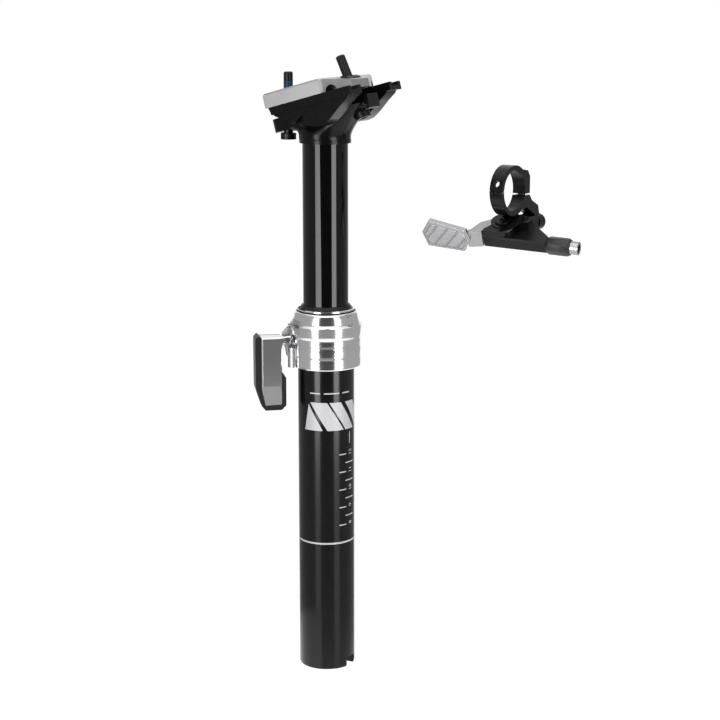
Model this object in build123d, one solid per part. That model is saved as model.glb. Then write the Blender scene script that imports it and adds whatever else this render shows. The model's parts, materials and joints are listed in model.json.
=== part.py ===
from build123d import *
import os
from math import cos, radians, sin, tan

os.makedirs("parts", exist_ok=True)

# A height-adjustable bicycle seat post with a twin-bolt saddle clamp, a lever on its
# upper collar, and the handlebar remote that stands beside it. Millimetres, +Z up along
# the post, +X towards the front of the bicycle, +Y to its left, origin at the foot.

# Fits and shared small sizes
slide_gap = 0.05
seat_gap = 0.02
joint_gap = 0.3
edge_break = 0.6
cut_overrun = 1.0

# Outer tube, base cap and travel
post_radius = 15.45
tube_wall = 2.0
travel = 80.0
tube_reserve = 52.0
thread_depth = 0.5
cap_height = 39.0
cap_spigot = 8.0
cap_pocket_radius = 10.5
cap_pocket_height = 22.0
cap_notch_width = 8.0
cap_notch_height = 5.5

# Stanchion, bushings and keys
stanchion_radius = 12.3
stanchion_wall = 2.0
top_reserve = 7.0
head_engagement = 6.5
upper_bushing_length = 20.0
lower_bushing_length = 14.0
key_length = 15.0
key_width = 4.0
key_places = range(3)
key_groove_depth = 0.9
key_pocket_depth = 1.0
glide_spacing = 10.0

# Cartridge
cylinder_radius = 9.0
cylinder_wall = 1.0
cylinder_cap_length = 6.0
gland_length = 9.0
rod_radius = 4.0
piston_length = 7.0
rod_nut_radius = 7.5
rod_nut_height = 6.0
bump_stop_length = 5.0
bump_stop_wall = 3.2

# Upper collar
collar_wall = 4.15
collar_height = 30.6
collar_socket = 17.0
groove_depth = 0.45
groove_half_width = 0.45
collar_wall_shares = ((0.60, 0.0), (0.71, 0.02), (0.71, 0.114), (0.64, 0.13), (0.76, 0.16), (0.76, 0.315),
                      (0.58, 0.34), (0.61, 0.369), (0.61, 0.454), (0.54, 0.475), (0.66, 0.5), (0.97, 0.676),
                      (1.0, 0.69), (0.9, 0.732), (0.35, 0.938), (0.04, 0.962), (-0.2, 0.964), (-0.2, 0.976),
                      (-0.08, 0.98), (-0.08, 0.996), (-0.14, 1.0))
collar_groove_shares = (0.742,)
wiper_wall = 1.7
wiper_depth = 5.6
wiper_stand = 2.9
wiper_lip_wall = 0.75
set_screw_radius = 1.5
set_screw_turn = -140.0

# Collar arm, cable boss and lever; the arm frame has x outwards, y across and z up
arm_turn = 39.0
arm_reach = 8.25
arm_half_width = 5.0
arm_face = 1.5
boss_radius = 3.0
boss_height = 11.0
boss_out = 3.0
boss_side = 3.0
cable_bore_radius = 1.1
housing_bore_radius = 2.3
housing_depth = 6.0
blade_thickness = 3.4
blade_back = 6.2
lever_width = 11.2
lever_height = 37.6
lever_top_drop = 14.0
lever_bend = 1.0
pad_rim = 3.4
pad_back = 2.0
pin_radius = 1.5
pin_out = 6.25
pin_eye_wall = 0.7
pin_drop = 15.4
plunger_radius = 2.0
plunger_drop = 9.4

# Saddle clamp; the clamp frame is tipped forward, x forwards, y left and z up
head_rise = 8.5
head_pitch = 15.0
rocker_radius = 13.0
rocker_rise = 15.0
rocker_half_width = 14.6
cradle_swing = 8.0
neck_radius = 13.9
neck_height = 5.0
boat_front = 18.0
boat_rear = 29.0
boat_half_width = 11.4
boat_top = 6.6
seat_half_width = 12.0
ear_half_width = 5.8
ear_thickness = 7.2
ear_top = 10.4
ear_reach = 30.0
ear_rear_reach = 32.0
rail_radius = 3.5
rail_half_spacing = 22.0
clamp_half_width = 28.0
clamp_half_length = 17.0
clamp_mid_length = 25.4
plate_shift = 1.2
plate_end_height = 4.4
clamp_mid_width = 9.5
clamp_side_height = 4.0
clamp_thickness = 7.6
trough_rear = 35.0
trough_front = 14.5
trough_floor_share = 0.30
trough_inner = 15.4
web_outer_step = 1.6
bolt_radius = 2.5
bolt_head_radius = 4.2
bolt_head_height = 3.4
front_bolt_lean = 15.2
rear_bolt_lean = 9.5
bolt_reach_above = 14.8
hex_socket_radius = 2.3
nut_radius = 3.6
nut_half_length = 7.0
nut_out = 19.6
nut_rise = 3.9
nut_bolt_gap = 0.45

# Remote: handlebar clamp; its frame has x across the bar, y up and z along the bar
bar_radius = 11.1
band_wall = 2.5
band_width = 7.6
clamp_place_out = 97.9
clamp_place_height = 266.0
view_turn = 29.0
bar_turn = 84.0
split_gap = 0.9
split_drop = 2.6
lug_out = 5.3
lug_height = 5.2
clamp_bolt_radius = 2.0
clamp_bolt_out = 2.9
hinge_pin_radius = 0.6
hinge_knuckle_radius = 1.4
band_hole_radius = 1.7
band_hole_turn = 20.0
arm_outer_out = 27.6
bracket_drop = 24.0
mount_bolt_radius = 2.5
mount_bolt_head_radius = 4.5
mount_bolt_head_length = 5.8
mount_bolt_drop = 20.0

# Remote: perch, lever and barrel; the perch frame has x along the cable, z up its pivot
perch_inset = 3.1
perch_drop = 16.3
perch_place_out = clamp_place_out - perch_inset
perch_place_height = clamp_place_height - perch_drop
perch_turn = 185.0
perch_droop = 3.0
perch_lean = 30.0
channel_left = 8.1
channel_length = 34.6
channel_width = 6.4
channel_centre = 6.2
channel_height = 7.2
channel_lip = 1.6
channel_step_at = 4.0
channel_top = 4.4
perch_depth = 9.4
pivot_pad_radius = 6.2
pivot_radius = 2.0
pivot_head_radius = 3.9
hub_thickness = 2.6
upper_ear_thickness = 1.5
barrel_radius = 4.9
barrel_length = 12.9
barrel_sides = range(8)
barrel_thread_radius = 2.5
barrel_thread_length = 6.0
sleeve_radius = 3.6
sleeve_length = 4.4
paddle_knee = 7.6
paddle_length = 25.5
paddle_height = 18.4
paddle_rise = 5.0
paddle_thickness = 2.6


def post_piece(points):
    # A piece turned about the post from its half profile of radii and heights
    face = make_face(Polyline(*[(radius, 0, height) for radius, height in points], close=True))
    return revolve(face, Axis.Z, 360)


def ring(inner, outer, bottom, top):
    return post_piece(((inner, bottom), (outer, bottom), (outer, top), (inner, top)))


def rod(radius, bottom, top):
    return post_piece(((0, bottom), (radius, bottom), (radius, top), (0, top)))


def side_plate(points, near, far):
    # A plate from its side profile of x and z, lying between two distances along y
    face = make_face(Polyline(*[(x, near, z) for x, z in points], close=True))
    return extrude(face, amount=far - near, dir=(0, 1, 0))


def flat_plate(points, bottom, top):
    # A plate from its plan profile of x and y, lying between two heights
    face = make_face(Polyline(*[(x, y, bottom) for x, y in points], close=True))
    return extrude(face, amount=top - bottom, dir=(0, 0, 1))


def block(x_from, x_to, y_from, y_to, z_from, z_to):
    centre = Pos((x_from + x_to) / 2, (y_from + y_to) / 2, (z_from + z_to) / 2)
    return centre * Box(x_to - x_from, y_to - y_from, z_to - z_from)


def bar(radius, start, direction, length):
    # A round bar from its start point along a direction
    return Plane(origin=start, z_dir=direction).location * rod(radius, 0, length)


def both_sides(solid):
    return solid + mirror(solid, about=Plane.XZ)


def write(name, shape, place=None):
    placed = shape if place is None else place * shape
    solids = [solid for solid in placed.solids()]
    export_step(solids[0] if len(solids) == 1 else Compound(children=solids), f"parts/{name}.step")


# Heights along the post
tube_bore = post_radius - tube_wall
collar_bottom = cap_height + tube_reserve + travel
collar_top = collar_bottom + collar_height
tube_top = collar_bottom + collar_socket
bushing_top = tube_top + upper_bushing_length * 0.4
bushing_bottom = bushing_top - upper_bushing_length
head_base = collar_top + wiper_stand + travel + top_reserve
head_height = head_base + head_rise
key_top = bushing_bottom - joint_gap
key_bottom = key_top - key_length
glide_top = key_bottom - glide_spacing
stanchion_bottom = glide_top - lower_bushing_length
stanchion_bore = stanchion_radius - stanchion_wall
rod_foot = cap_pocket_height
gland_top = stanchion_bottom + gland_length
piston_bottom = gland_top + joint_gap * 2
piston_top = piston_bottom + piston_length
cylinder_top = piston_top + travel + joint_gap * 8
bump_stop_bottom = cap_height + cap_spigot

# Base cap: a threaded plug with a spigot, a spanner notch each side and a blind pocket
cap = post_piece((
    (0, 0), (post_radius - edge_break * 2, 0), (post_radius - edge_break * 0.6, edge_break * 0.5),
    (post_radius, edge_break * 2), (post_radius, cap_height), (tube_bore - seat_gap, cap_height),
    (tube_bore - seat_gap, cap_height + cap_spigot), (0, cap_height + cap_spigot)))
cap -= rod(cap_pocket_radius, -cut_overrun, cap_pocket_height)
cap -= rod(rod_radius + seat_gap, 0, cap_height + cap_spigot + cut_overrun)
for side in (-1, 1):
    notch_reach = side * post_radius
    cap -= Pos(notch_reach, 0, 0) * Box(post_radius, cap_notch_width, cap_notch_height * 2)
write("base_cap", cap)

# Outer tube with the three grooves that keep the sliding part from turning
tube_thread = post_radius - thread_depth
tube = ring(tube_bore, post_radius, cap_height, collar_bottom) + ring(tube_bore, tube_thread, collar_bottom, tube_top)
groove_bottom = key_bottom - travel - joint_gap * 4
groove_radius = tube_bore + key_groove_depth
key_turns = [index * 360 / len(key_places) for index in key_places]
for turn in key_turns:
    groove = block(0, groove_radius, -key_width / 2 - slide_gap, key_width / 2 + slide_gap,
                   groove_bottom, bushing_bottom)
    tube -= Rot(0, 0, turn + 60) * groove
write("lower_tube", tube)

# Cartridge: the rod stands on the base cap, the cylinder hangs in the sliding part
write("rod_nut", ring(rod_radius + seat_gap, rod_nut_radius, rod_foot - rod_nut_height, rod_foot))
write("gas_rod", rod(rod_radius, rod_foot - rod_nut_height * 1.2, piston_bottom))
cylinder_bore = cylinder_radius - cylinder_wall
write("piston", rod(cylinder_bore - slide_gap, piston_bottom, piston_top))
write("bump_stop", ring(rod_radius + slide_gap, rod_radius + bump_stop_wall, bump_stop_bottom,
                        bump_stop_bottom + bump_stop_length))
cylinder = ring(cylinder_bore, cylinder_radius, gland_top, cylinder_top)
cylinder += rod(stanchion_bore - seat_gap, cylinder_top, cylinder_top + cylinder_cap_length)
write("gas_cylinder", cylinder)
write("cylinder_gland", ring(rod_radius + slide_gap, stanchion_bore - seat_gap, stanchion_bottom, gland_top))

# Sliding tube, its lower bushing and its keys
stanchion = ring(stanchion_bore, stanchion_radius, stanchion_bottom, head_base + head_engagement)
key_inner = stanchion_radius - key_pocket_depth
for turn in key_turns:
    pocket = block(key_inner, stanchion_radius + cut_overrun, -key_width / 2, key_width / 2, key_bottom, key_top)
    stanchion -= Rot(0, 0, turn + 60) * pocket
write("stanchion_tube", stanchion)
write("lower_bushing", ring(stanchion_radius + seat_gap, tube_bore - slide_gap, stanchion_bottom, glide_top))
for index, turn in enumerate(key_turns):
    key = block(key_inner, groove_radius, -key_width / 2, key_width / 2, key_bottom, key_top)
    key = key & rod(groove_radius - slide_gap * 2, key_bottom, key_top)
    write(f"guide_key_{index + 1}", key, Rot(0, 0, turn + 60))

# Upper collar: turned body, side arm and cable boss
collar_radius = post_radius + collar_wall
collar_profile = [(post_radius + share * collar_wall, collar_bottom + height * collar_height)
                  for share, height in collar_wall_shares]
wiper_pocket = stanchion_radius + wiper_wall
bushing_radius = tube_bore - slide_gap
collar_bore_points = [(wiper_pocket, collar_top), (wiper_pocket, collar_top - wiper_depth),
                      (tube_bore, collar_top - wiper_depth), (tube_bore, tube_top),
                      (tube_thread + seat_gap, tube_top), (tube_thread + seat_gap, collar_bottom)]
collar_body = post_piece(collar_profile + collar_bore_points)
for share in collar_groove_shares:
    groove_height = collar_bottom + share * collar_height
    below = [point for point in collar_profile if point[1] <= groove_height][-1]
    above = [point for point in collar_profile if point[1] > groove_height][0]
    along = (groove_height - below[1]) / (above[1] - below[1])
    surface = below[0] + along * (above[0] - below[0])
    collar_body -= post_piece(((surface - groove_depth, groove_height),
                               (surface + groove_depth, groove_height - groove_half_width * 2),
                               (surface + groove_depth, groove_height + groove_half_width * 2)))

arm_place = Rot(0, 0, arm_turn)
arm_root = post_radius + collar_wall * 0.1
arm_tip = post_radius + arm_reach
arm_profile = ((arm_root, collar_top - 0.15 * collar_height),
               (arm_root + 0.16 * arm_reach, collar_top - 0.19 * collar_height),
               (arm_root + 0.5 * arm_reach, collar_top - 0.295 * collar_height),
               (arm_tip, collar_top - 0.425 * collar_height), (arm_tip, collar_top - 0.56 * collar_height),
               (arm_tip - 0.2 * arm_reach, collar_top - 0.7 * collar_height),
               (arm_tip - 0.28 * arm_reach, collar_bottom + 0.18 * collar_height),
               (arm_root, collar_bottom + 0.1 * collar_height))
arm = side_plate(arm_profile, -arm_half_width, arm_face)
boss_x = post_radius + boss_out
boss = Pos(boss_x, boss_side, 0) * rod(boss_radius, collar_bottom, collar_bottom + boss_height)
boss_web = block(arm_root, boss_x, 0, boss_side + boss_radius * 0.7, collar_bottom + boss_height * 0.2,
                 collar_bottom + boss_height * 0.95)
arm_all = arm + boss + boss_web
arm_all -= rod(post_radius + collar_wall * 0.45, collar_bottom - cut_overrun, collar_top + cut_overrun)
arm_all -= Pos(boss_x, boss_side, 0) * rod(cable_bore_radius, collar_bottom - cut_overrun,
                                          collar_bottom + boss_height + cut_overrun)
arm_all -= Pos(boss_x, boss_side, 0) * rod(housing_bore_radius, collar_bottom - cut_overrun,
                                          collar_bottom + housing_depth)
pin_x = post_radius + pin_out
pin_z = collar_top - pin_drop
plunger_z = collar_top - plunger_drop
lever_side = arm_face + joint_gap
collar = collar_body + arm_place * arm_all
pin_start = -arm_half_width + cut_overrun
collar -= arm_place * bar(pin_radius + seat_gap, (pin_x, pin_start, pin_z), (0, 1, 0), arm_half_width * 2)
plunger_start = stanchion_radius + slide_gap
plunger_end = post_radius + 0.62 * arm_reach
plunger_cut = bar(plunger_radius + slide_gap, (plunger_start, -arm_face, plunger_z), (1, 0, 0),
                  plunger_end - plunger_start + pin_radius)
collar -= arm_place * plunger_cut
screw_place = Rot(0, 0, set_screw_turn)
screw_height = collar_bottom + 0.26 * collar_height
collar -= screw_place * bar(set_screw_radius + seat_gap, (post_radius, 0, screw_height), (1, 0, 0), collar_wall * 2)
write("upper_collar", collar)
set_screw = bar(set_screw_radius, (post_radius + seat_gap, 0, screw_height), (1, 0, 0), collar_wall * 0.6)
write("collar_set_screw", set_screw, screw_place)

bushing = ring(stanchion_radius + slide_gap, bushing_radius, bushing_bottom, bushing_top)
write("upper_bushing", bushing - arm_place * plunger_cut)
wiper_bottom = collar_top - wiper_depth + seat_gap
wiper = post_piece((
    (stanchion_radius + slide_gap, wiper_bottom), (wiper_pocket - seat_gap, wiper_bottom),
    (wiper_pocket - seat_gap, collar_top), (wiper_pocket + collar_wall * 0.06, collar_top),
    (wiper_pocket + collar_wall * 0.06, collar_top + wiper_stand * 0.3),
    (stanchion_radius + wiper_lip_wall * 1.6, collar_top + wiper_stand * 0.8),
    (stanchion_radius + wiper_lip_wall, collar_top + wiper_stand),
    (stanchion_radius + slide_gap, collar_top + wiper_stand)))
write("wiper_seal", wiper)

# Collar lever: metal blade with a bevelled face, and the black rim that wraps it
lever_in = arm_tip + joint_gap * 3
lever_out = lever_in + lever_width
lever_top = collar_top - lever_top_drop
lever_low = lever_top - lever_height
eye_in = pin_x - pin_radius - pin_eye_wall * 0.4
eye_top = pin_z + pin_radius + pin_eye_wall
eye_low = pin_z - pin_radius - pin_eye_wall
blade_edge = ((lever_out, lever_top), (lever_out, lever_low + lever_height * 0.25),
              (lever_out - lever_width * 0.17, lever_low), (lever_in + lever_width * 0.04, lever_low + lever_height * 0.01))
blade_points = ((eye_in, eye_top), (lever_in + lever_width * 0.2, lever_top)) + blade_edge + (
    (lever_in, eye_low - lever_width * 0.25), (pin_x + pin_radius + pin_eye_wall, eye_low), (eye_in, eye_low))
back_points = ((lever_in, lever_top),) + blade_edge
blade = side_plate(blade_points, lever_side, lever_side + blade_thickness)
blade += side_plate(back_points, lever_side - blade_back, lever_side)
bend_height = lever_low + lever_height * 0.29
bend_cut = Plane.YZ * make_face(Polyline(
    (lever_side + blade_thickness, bend_height, 0), (lever_side + blade_thickness - lever_bend, lever_low, 0),
    (lever_side + blade_thickness - lever_bend, lever_low - cut_overrun, 0),
    (lever_side + blade_thickness + cut_overrun, lever_low - cut_overrun, 0),
    (lever_side + blade_thickness + cut_overrun, bend_height, 0), close=True))
blade = chamfer(blade.faces().sort_by(Axis.Y)[-1].edges(), edge_break * 0.9)
blade -= extrude(bend_cut, amount=lever_out, dir=(1, 0, 0))
blade -= bar(pin_radius + slide_gap, (pin_x, arm_face, pin_z), (0, 1, 0), blade_thickness * 2)
write("release_lever", blade, arm_place)
pad_out = lever_out + pad_rim
pad_high = lever_top - lever_height * 0.52
pad_points = ((lever_in, lever_top), (lever_out, lever_top), (pad_out - pad_rim * 0.5, lever_top + edge_break * 2),
              (pad_out, lever_top - edge_break), (pad_out, lever_low + lever_height * 0.27),
              (lever_out + lever_width * 0.02, lever_low), (lever_out - lever_width * 0.16, lever_low - pad_rim * 0.75),
              (lever_in + lever_width * 0.04, lever_low - pad_rim * 0.75), (lever_in - pad_rim * 0.6, lever_low),
              (lever_in - pad_rim * 0.6, pad_high - pad_rim * 0.8), (lever_in, pad_high))
pad = side_plate(pad_points, lever_side - blade_back - pad_back, lever_side + blade_thickness - edge_break)
pad = chamfer(pad.faces().sort_by(Axis.Y)[0].edges(), edge_break)
pad -= side_plate(blade_points, lever_side - joint_gap, lever_side + blade_thickness + cut_overrun)
pad -= side_plate(back_points, lever_side - blade_back, lever_side + blade_thickness)
pad -= block(post_radius, lever_out, -lever_side, lever_side + blade_thickness + cut_overrun,
             lever_top - edge_break, lever_top + cut_overrun * 2)
pad -= block(post_radius, lever_in + edge_break, -lever_side, lever_side + blade_thickness + cut_overrun,
             pad_high, lever_top + cut_overrun * 2)
write("lever_pad", pad, arm_place)
pin_length = arm_face + blade_thickness + joint_gap - pin_start
write("lever_pin", bar(pin_radius, (pin_x, pin_start, pin_z), (0, 1, 0), pin_length), arm_place)
plunger = bar(plunger_radius, (plunger_start, -arm_face, plunger_z), (1, 0, 0), plunger_end - plunger_start)
plunger -= rod(stanchion_radius + slide_gap, plunger_z - plunger_radius * 2, plunger_z + plunger_radius * 2)
write("release_plunger", plunger, arm_place)

# Saddle clamp: forged head with a concave seat and an ear for each bolt
clamp_place = Plane(origin=(0, 0, head_height), x_dir=(cos(radians(head_pitch)), 0, -sin(radians(head_pitch))),
                    z_dir=(sin(radians(head_pitch)), 0, cos(radians(head_pitch)))).location
seat_radius = rocker_radius + slide_gap * 2
ear_low = ear_top - ear_thickness
neck_sections = [
    Plane(origin=(0, 0, head_base + neck_height * 0.3)) * Circle(neck_radius),
    Plane(origin=(0, 0, head_base + neck_height)) * Circle(neck_radius * 1.02),
    Plane(clamp_place) * Plane(origin=((boat_front - boat_rear) * 0.25, 0, boat_top * 0.3))
    * RectangleRounded((boat_front + boat_rear) * 0.86, boat_half_width * 2, boat_half_width * 0.8),
    Plane(clamp_place) * Plane(origin=((boat_front - boat_rear) * 0.5, 0, boat_top))
    * RectangleRounded(boat_front + boat_rear, boat_half_width * 2, boat_half_width * 0.6)]
neck = rod(neck_radius, head_base, head_base + neck_height * 0.3) + loft(neck_sections)
horn = rocker_radius * 1.12
seat_block = side_plate(((-horn, boat_top * 0.5), (horn, boat_top * 0.5), (horn, ear_top), (-horn, ear_top)),
                        -seat_half_width, seat_half_width)
ear_plan = ((horn, -ear_half_width), (horn, ear_half_width), (-ear_rear_reach, ear_half_width),
            (-ear_rear_reach, -ear_half_width))
ears = flat_plate(ear_plan, ear_low, ear_top)
ears += Pos(ear_reach - ear_half_width, 0, 0) * rod(ear_half_width, ear_low, ear_top)
ears += block(0, ear_reach - ear_half_width, -ear_half_width, ear_half_width, ear_low, ear_top)
ears += side_plate(((horn, ear_low), (horn, boat_top * 0.3), (horn + ear_thickness, ear_low)), -ear_half_width, ear_half_width)
head = clamp_place * (seat_block + ears) + neck
head -= clamp_place * bar(seat_radius, (0, -clamp_half_width, rocker_rise), (0, 1, 0), clamp_half_width * 2)
head -= rod(stanchion_radius + seat_gap, head_base - cut_overrun, head_base + head_engagement + seat_gap)
nut_z = rocker_rise + nut_rise
bolt_lines = {}
for side, name, lean in ((1, "front", front_bolt_lean), (-1, "rear", rear_bolt_lean)):
    direction = (-side * sin(radians(lean)), 0, cos(radians(lean)))
    bolt_down = (nut_z - ear_low + joint_gap) / direction[2] + bolt_head_radius * tan(radians(lean))
    nut_x = side * nut_out - plate_shift
    foot = (nut_x - direction[0] * bolt_down, 0, nut_z - direction[2] * bolt_down)
    bolt_lines[name] = (side, nut_x, foot, direction, bolt_down, lean)
    head -= clamp_place * bar(bolt_radius + slide_gap * 4, foot, direction, bolt_down)
    head_clear = Plane(origin=foot, z_dir=direction).location * rod(
        bolt_head_radius + joint_gap, -bolt_head_height * 2, joint_gap)
    head -= clamp_place * head_clear
write("head_forging", head)

# Lower cradle: round-bottomed rocker with a trough on a web at each end
rocker = bar(rocker_radius, (0, -rocker_half_width, rocker_rise), (0, 1, 0), rocker_half_width * 2)
rocker = rocker & block(-rocker_radius, rocker_radius, -rocker_half_width, rocker_half_width, 0, rocker_rise)
bridge = block(-rocker_radius * 0.98, rocker_radius * 0.98, rocker_half_width - cut_overrun, trough_inner,
               rocker_rise * 0.55, rocker_rise)
trough_floor = rocker_rise - rocker_rise * trough_floor_share
trough_profile = ((trough_front, rocker_rise), (trough_front * 0.94, trough_floor + rail_radius * 0.1),
                  (-trough_rear, trough_floor), (-trough_rear, rocker_rise))
web_profile = ((trough_front * 0.97, rocker_rise * 0.93), (trough_front * 0.9, rocker_rise * 0.68),
               (trough_front * 0.23, rocker_rise * 0.27), (-trough_rear * 0.13, rocker_rise * 0.48),
               (-trough_rear * 0.1, rocker_rise * 0.1), (-trough_rear * 0.33, -rocker_rise * 0.07),
               (-trough_rear * 0.45, -rocker_rise * 0.03), (-trough_rear * 0.59, rocker_rise * 0.15),
               (-trough_rear * 0.76, rocker_rise * 0.42), (-trough_rear * 0.9, rocker_rise * 0.61),
               (-trough_rear * 0.97, rocker_rise * 0.8))
trough = side_plate(trough_profile, trough_inner, clamp_half_width)
web = side_plate(web_profile, trough_inner, clamp_half_width - web_outer_step)
web_pocket_profile = ((-trough_rear * 0.22, rocker_rise * 0.15), (-trough_rear * 0.45, rocker_rise * 0.12),
                      (-trough_rear * 0.66, rocker_rise * 0.45), (-trough_rear * 0.2, rocker_rise * 0.5))
web -= side_plate(web_pocket_profile, trough_inner - cut_overrun, trough_inner + (clamp_half_width - trough_inner) * 0.6)
write("lower_cradle", rocker + both_sides(bridge), clamp_place)
rail_way = bar(rail_radius, (-trough_rear - cut_overrun, rail_half_spacing, rocker_rise), (1, 0, 0),
               trough_rear + trough_front + cut_overrun * 2)
left_trough = trough + web - rail_way
write("rail_trough_left", left_trough, clamp_place)
write("rail_trough_right", mirror(left_trough, about=Plane.XZ), clamp_place)

# Upper clamp: bevelled plate with two rail grooves and a pocket for each barrel nut
plan = ((clamp_half_length, clamp_half_width), (clamp_half_length + edge_break * 2, clamp_half_width - edge_break * 2),
        (clamp_mid_length, clamp_mid_width))
plan_front = list(plan) + [(x, -y) for x, y in reversed(plan)]
plan_all = plan_front + [(-x, -y) for x, y in plan_front]
plate = flat_plate(plan_all, rocker_rise, rocker_rise + clamp_thickness)
plate_top = rocker_rise + clamp_thickness
plate = chamfer(plate.faces().sort_by(Axis.Z)[-1].edges(), edge_break * 1.4)
end_over = clamp_mid_length + cut_overrun
over_share = (end_over - clamp_half_length) / (clamp_mid_length - clamp_half_length)
for side in (-1, 1):
    plate -= side_plate(((side * clamp_half_length, plate_top), (side * clamp_half_length, plate_top + cut_overrun),
                         (side * end_over, plate_top + cut_overrun),
                         (side * end_over, plate_top - (clamp_thickness - plate_end_height) * over_share)),
                        -clamp_half_width - cut_overrun, clamp_half_width + cut_overrun)
    plate -= bar(rail_radius, (-clamp_mid_length * 1.1, side * rail_half_spacing, rocker_rise), (1, 0, 0),
                 clamp_mid_length * 2.2)
plate = Pos(-plate_shift, 0, 0) * plate
bolt_swing = nut_bolt_gap * 4
for side, nut_x, foot, direction, bolt_down, lean in bolt_lines.values():
    plate -= bar(nut_radius + slide_gap, (nut_x, -nut_half_length - joint_gap, nut_z), (0, 1, 0),
                 (nut_half_length + joint_gap) * 2)
    plate -= block(nut_x - nut_radius - slide_gap, nut_x + nut_radius + slide_gap, -nut_half_length - joint_gap,
                   nut_half_length + joint_gap, rocker_rise - cut_overrun, nut_z)
    slot_half = bolt_radius + bolt_swing
    slot_width = bolt_radius + nut_bolt_gap * 2
    slot = block(-slot_half, slot_half, -slot_width, slot_width, 0, clamp_thickness)
    slot = fillet(slot.edges().filter_by(Axis.Z), bolt_radius * 0.4)
    plate -= Pos(nut_x, 0, nut_z) * Rot(0, -side * lean, 0) * slot
    swing_reach = side * (bolt_radius + nut_rise * tan(radians(lean + cradle_swing)) + bolt_swing * 0.6)
    plate -= block(min(nut_x, nut_x + swing_reach), max(nut_x, nut_x + swing_reach), -slot_width, slot_width,
                   rocker_rise - cut_overrun, nut_z)
plate_reach = clamp_mid_length * 2
plate_cuts = {}
for name, (side, nut_x, foot, direction, bolt_down, lean) in bolt_lines.items():
    slot_inner = slot_half / cos(radians(lean)) + (plate_top - nut_z) * tan(radians(lean)) + edge_break
    plate_cuts[name] = nut_x - side * slot_inner
for node, low_x, high_x in (("upper_clamp", plate_cuts["rear"], plate_cuts["front"]),
                            ("clamp_end_front", plate_cuts["front"], plate_reach),
                            ("clamp_end_rear", -plate_reach, plate_cuts["rear"])):
    write(node, plate & block(low_x, high_x, -trough_inner, trough_inner, 0, plate_top * 2), clamp_place)
left_wing = plate & block(-plate_reach, plate_reach, trough_inner, clamp_half_width * 2, 0, plate_top * 2)
write("rail_clamp_left", left_wing, clamp_place)
write("rail_clamp_right", mirror(left_wing, about=Plane.XZ), clamp_place)

# Barrel nuts and bolts
for name, (side, nut_x, foot, direction, bolt_down, lean) in bolt_lines.items():
    nut = bar(nut_radius, (nut_x, -nut_half_length, nut_z), (0, 1, 0), nut_half_length * 2)
    nut_hole = (nut_x - direction[0] * nut_radius * 2, 0, nut_z - direction[2] * nut_radius * 2)
    nut -= bar(bolt_radius + nut_bolt_gap, nut_hole, direction, nut_radius * 4)
    write(f"barrel_nut_{name}", nut, clamp_place)
    bolt = rod(bolt_radius, 0, bolt_down + bolt_reach_above)
    bolt += rod(bolt_head_radius, -bolt_head_height, 0)
    bolt = chamfer(bolt.edges().sort_by(Axis.Z)[-1], edge_break)
    socket = extrude(Plane(origin=(0, 0, -bolt_head_height)) * RegularPolygon(hex_socket_radius, 6),
                     amount=bolt_head_height * 0.55)
    bolt -= socket
    write(f"clamp_bolt_{name}", bolt, clamp_place * Plane(origin=foot, z_dir=direction).location)

# Remote: where it stands
right_x = -cos(radians(view_turn))
right_y = -sin(radians(view_turn))
clamp_centre = (clamp_place_out * right_x, clamp_place_out * right_y, clamp_place_height)
across = (cos(radians(bar_turn)), sin(radians(bar_turn)), 0)
along_bar = (sin(radians(bar_turn)), -cos(radians(bar_turn)), 0)
ring_place = Plane(origin=clamp_centre, x_dir=across, z_dir=along_bar).location
band_radius = bar_radius + band_wall
half_width = band_width / 2
hinge_x = bar_radius + band_wall / 2
bolt_x = -(bar_radius + clamp_bolt_out)
lug_end = -(bar_radius + lug_out)

# Lower clamp half with its bracket arm
arm_outer = -arm_outer_out
mount_seat = arm_outer + lug_out
whole_ring = ring(bar_radius, band_radius, -half_width, half_width)
lower_half = whole_ring & block(-band_radius, band_radius, -band_radius, -split_gap * 0.1, -half_width, half_width)
lug_top = -split_drop - split_gap
lower_lug = flat_plate(((-bar_radius * 0.86, lug_top), (lug_end, lug_top),
                        (lug_end - lug_out * 0.5, -lug_height * 1.3),
                        (arm_outer + lug_out * 0.3, -lug_height * 1.95), (arm_outer, -mount_bolt_drop * 0.8),
                        (arm_outer, -bracket_drop), (mount_seat, -bracket_drop), (mount_seat, -mount_bolt_drop * 0.74),
                        (-bar_radius * 1.2, -bar_radius * 0.9), (-bar_radius * 0.55, -bar_radius)),
                       -half_width, half_width)
lower_half -= block(-band_radius, -bar_radius * 0.8, lug_top, 0, -half_width, half_width)
bracket = lower_half + lower_lug
bracket += Pos(hinge_x, 0, 0) * rod(hinge_knuckle_radius, -half_width, half_width)
bracket -= rod(bar_radius, -half_width - cut_overrun, half_width + cut_overrun)
middle = band_width / 6
bracket -= Pos(hinge_x, 0, 0) * rod(hinge_knuckle_radius + joint_gap, -middle - joint_gap / 2, middle + joint_gap / 2)
bracket -= Pos(hinge_x, 0, 0) * rod(hinge_pin_radius + seat_gap, -half_width - cut_overrun, half_width + cut_overrun)
bolt_hole_radius = clamp_bolt_radius + band_wall * 0.34
bracket -= bar(bolt_hole_radius, (bolt_x, -lug_height * 1.6, 0), (0, 1, 0), lug_height * 2)
mount_y = -mount_bolt_drop
bracket -= bar(mount_bolt_radius + seat_gap, (arm_outer - lug_out, mount_y, 0), (1, 0, 0), lug_out * 4)
write("clamp_bracket", bracket, ring_place)
write("hinge_pin", Pos(hinge_x, 0, 0) * rod(hinge_pin_radius, -half_width, half_width), ring_place)

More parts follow.
